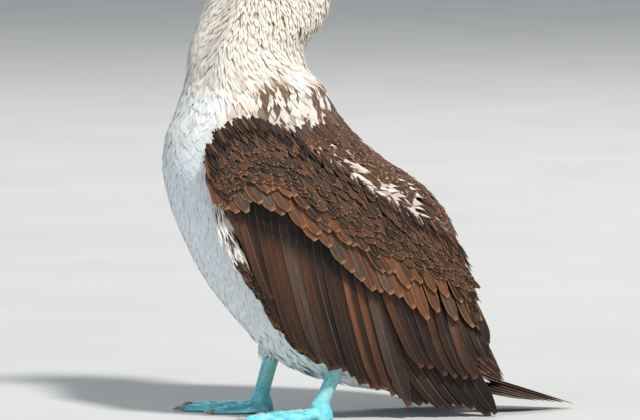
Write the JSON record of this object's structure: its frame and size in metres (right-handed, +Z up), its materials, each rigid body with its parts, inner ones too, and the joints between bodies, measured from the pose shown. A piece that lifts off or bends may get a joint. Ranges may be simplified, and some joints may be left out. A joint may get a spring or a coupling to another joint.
{
  "type": "blue-footed booby, life-size museum model",
  "caption": "Still, life-size model of a blue-footed booby standing upright on webbed blue feet, wings folded, tail resting.",
  "frame": {"origin": "middle of the bird's bounding box in plan, on the floor under its feet", "axes": "+Z up, the bird faces -X, its left side is -Y"},
  "size_m": [0.4714, 0.176, 0.487],
  "materials": {
    "plumage_white": "soft white breast, belly and vent feathers",
    "plumage_streaked": "cream lanceolate feathers of head and neck with thin brown streaks",
    "plumage_brown": "dark to mid brown feathers of mantle, wings and tail with tan fringes",
    "blue_skin": "scaled turquoise-blue skin of legs, toes and webs",
    "claw": "grey horn",
    "bill": "blue-grey horn and bare facial skin",
    "eye": "glossy yellow iris with a dark pupil"
  },
  "bodies": {
    "root": {"torso": "plumage_white", "neck_lower": "plumage_streaked", "neck_upper": "plumage_streaked", "head": "plumage_streaked", "bill_upper": "bill", "bill_lower": "bill", "tail": "plumage_brown", "wing_left": "plumage_brown", "wing_right": "plumage_brown", "eye_left": "eye", "eye_right": "eye", "thigh_left": "plumage_white", "thigh_right": "plumage_white", "leg_left": "blue_skin", "leg_right": "blue_skin", "foot_left": "blue_skin", "foot_right": "blue_skin", "claw_left_outer": "claw", "claw_left_middle": "claw", "claw_left_inner": "claw", "claw_left_hind": "claw", "claw_right_outer": "claw", "claw_right_middle": "claw", "claw_right_inner": "claw", "claw_right_hind": "claw"}
  },
  "joints": []
}
